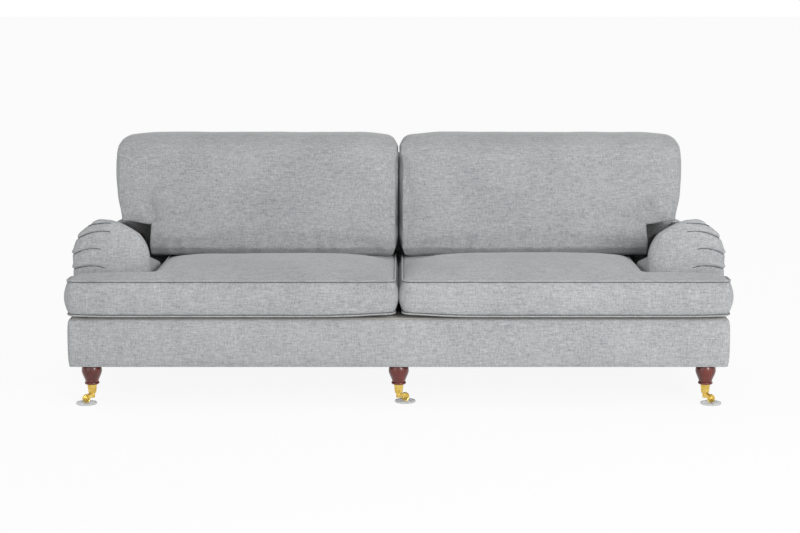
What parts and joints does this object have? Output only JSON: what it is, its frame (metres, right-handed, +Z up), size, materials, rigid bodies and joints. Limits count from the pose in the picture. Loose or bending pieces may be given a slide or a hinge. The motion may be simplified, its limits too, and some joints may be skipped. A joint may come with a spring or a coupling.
{
  "type": "english roll arm sofa",
  "caption": "Upholstered English roll arm sofa with loose seat and back cushions, turned front legs on brass castors in clear cups, and plain raked rear legs.",
  "frame": {"origin": "on the floor, under the centre of the bounding box", "axes": "+X to the right as you face the sofa, the seat faces -Y, +Z up"},
  "size_m": [2.322, 0.98, 0.887],
  "materials": {
    "linen_cloth": "matt",
    "beech": "planed",
    "mahogany": "polished",
    "castor_brass": "polished",
    "clear_plastic": "clear grey",
    "jute_webbing": "woven",
    "deck_felt": "matt",
    "black_cloth": "matt",
    "steel_plate": "zinc plated"
  },
  "bodies": {
    "sofa": {"arm_board_left": "beech", "arm_board_right": "beech", "arm_padding_left": "linen_cloth", "arm_padding_right": "linen_cloth", "arm_rail_left": "beech", "arm_rail_right": "beech", "back_padding": "linen_cloth", "back_post_centre": "beech", "back_post_left": "beech", "back_post_right": "beech", "back_seat_rail": "beech", "back_webbing": "jute_webbing", "castor_sockets": "castor_brass", "centre_cross_rail": "beech", "corner_blocks": "beech", "dust_cover": "black_cloth", "frame_tenons": "beech", "front_arm_post_left": "beech", "front_arm_post_right": "beech", "front_border": "linen_cloth", "front_legs": "mahogany", "front_seat_rail": "beech", "leg_plates": "steel_plate", "lower_back_rail": "beech", "outside_back": "linen_cloth", "rear_legs": "mahogany", "seat_deck": "deck_felt", "seat_webbing_front_to_back": "jute_webbing", "seat_webbing_side_to_side": "jute_webbing", "side_cover_left": "linen_cloth", "side_cover_right": "linen_cloth", "side_seat_rail_left": "beech", "side_seat_rail_right": "beech", "top_back_rail": "beech"},
    "castor_left": {"castor_horn_left": "castor_brass", "castor_cup_left": "clear_plastic"},
    "castor_left_roller": {"castor_wheel_left": "castor_brass"},
    "castor_centre": {"castor_horn_centre": "castor_brass", "castor_cup_centre": "clear_plastic"},
    "castor_centre_roller": {"castor_wheel_centre": "castor_brass"},
    "castor_right": {"castor_horn_right": "castor_brass", "castor_cup_right": "clear_plastic"},
    "castor_right_roller": {"castor_wheel_right": "castor_brass"},
    "seat_cushion_left_loose": {"seat_cushion_left": "linen_cloth"},
    "back_cushion_left_loose": {"back_cushion_left": "linen_cloth"},
    "seat_cushion_right_loose": {"seat_cushion_right": "linen_cloth"},
    "back_cushion_right_loose": {"back_cushion_right": "linen_cloth"}
  },
  "joints": [
    {"name": "castor_swivel_left", "type": "hinge", "parent": "sofa", "child": "castor_left", "pos_m": [-1.072, -0.425, 0.03], "axis": [0, 0, 1], "continuous": true},
    {"name": "castor_roll_left", "type": "hinge", "parent": "castor_left", "child": "castor_left_roller", "pos_m": [-1.09038, -0.44338, 0.019], "axis": [0.7071, -0.7071, 0], "continuous": true},
    {"name": "castor_swivel_centre", "type": "hinge", "parent": "sofa", "child": "castor_centre", "pos_m": [0, -0.425, 0.03], "axis": [0, 0, 1], "continuous": true},
    {"name": "castor_roll_centre", "type": "hinge", "parent": "castor_centre", "child": "castor_centre_roller", "pos_m": [0.02252, -0.412, 0.019], "axis": [-0.5, 0.866, 0], "continuous": true},
    {"name": "castor_swivel_right", "type": "hinge", "parent": "sofa", "child": "castor_right", "pos_m": [1.072, -0.425, 0.03], "axis": [0, 0, 1], "continuous": true},
    {"name": "castor_roll_right", "type": "hinge", "parent": "castor_right", "child": "castor_right_roller", "pos_m": [1.09038, -0.44338, 0.019], "axis": [0.7071, 0.7071, 0], "continuous": true},
    {"name": "seat_cushion_left_slide", "type": "slide", "parent": "sofa", "child": "seat_cushion_left_loose", "axis": [0, -1, 0], "range_m": [0, 0.85]},
    {"name": "back_cushion_left_lift", "type": "slide", "parent": "sofa", "child": "back_cushion_left_loose", "axis": [0, 0, 1], "range_m": [0, 0.45]},
    {"name": "seat_cushion_right_slide", "type": "slide", "parent": "sofa", "child": "seat_cushion_right_loose", "axis": [0, -1, 0], "range_m": [0, 0.85]},
    {"name": "back_cushion_right_lift", "type": "slide", "parent": "sofa", "child": "back_cushion_right_loose", "axis": [0, 0, 1], "range_m": [0, 0.45]}
  ]
}
